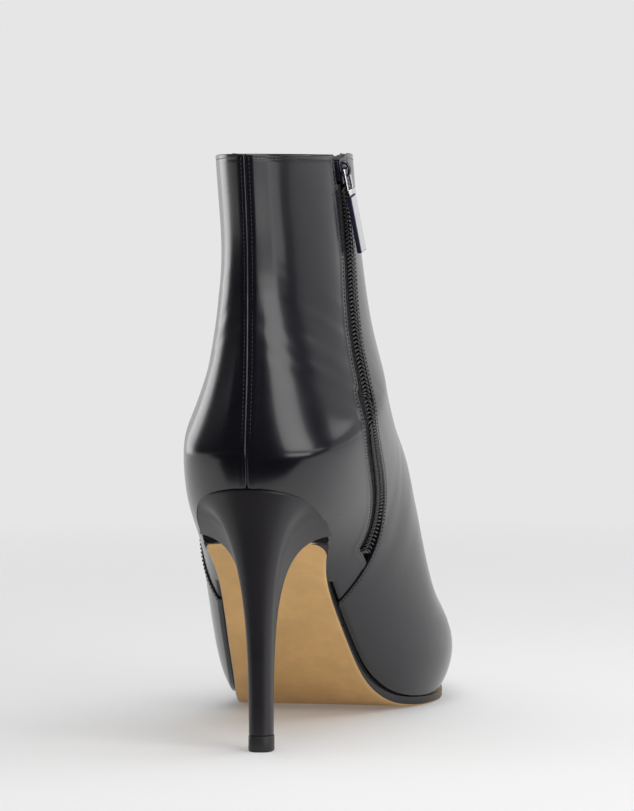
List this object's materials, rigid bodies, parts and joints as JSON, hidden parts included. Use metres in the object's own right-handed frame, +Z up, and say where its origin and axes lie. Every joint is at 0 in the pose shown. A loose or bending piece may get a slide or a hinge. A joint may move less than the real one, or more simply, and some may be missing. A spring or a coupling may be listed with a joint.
{
  "type": "stiletto ankle bootie",
  "caption": "Left ankle bootie with a pointed toe, a slim high heel, a leather upper with an inside zip and a tan leather sole, standing empty.",
  "frame": {"origin": "middle of the top piece's face on the floor, under the heel", "axes": "+X to the medial side, where the zip is, +Y to the toe, +Z up"},
  "size_m": [0.0872, 0.2404, 0.2229],
  "materials": {
    "upper_leather": "smooth near-black leather with a soft polish",
    "heel_leather": "satin charcoal leather cover",
    "sole_leather": "smooth tan leather",
    "lining": "matte dark lining leather",
    "rubber": "matte black",
    "zip_fabric": "woven black tape",
    "zip_coil": "black moulded coil",
    "metal": "polished silver metal"
  },
  "bodies": {
    "boot": {"upper": "upper_leather", "outsole": "sole_leather", "insole": "lining", "heel": "heel_leather", "top_piece": "rubber", "zip_tape": "zip_fabric", "zip_chain": "zip_coil", "zip_slider": "metal"},
    "zip_pull": {"pull_link": "metal", "pull_tab": "upper_leather"}
  },
  "joints": [
    {"name": "pull_swing", "type": "hinge", "parent": "boot", "child": "zip_pull", "pos_m": [0.02776, 0.03126, 0.21635], "axis": [-0.1638, -0.9568, -0.2402], "range_deg": [-1.5, 160]}
  ]
}
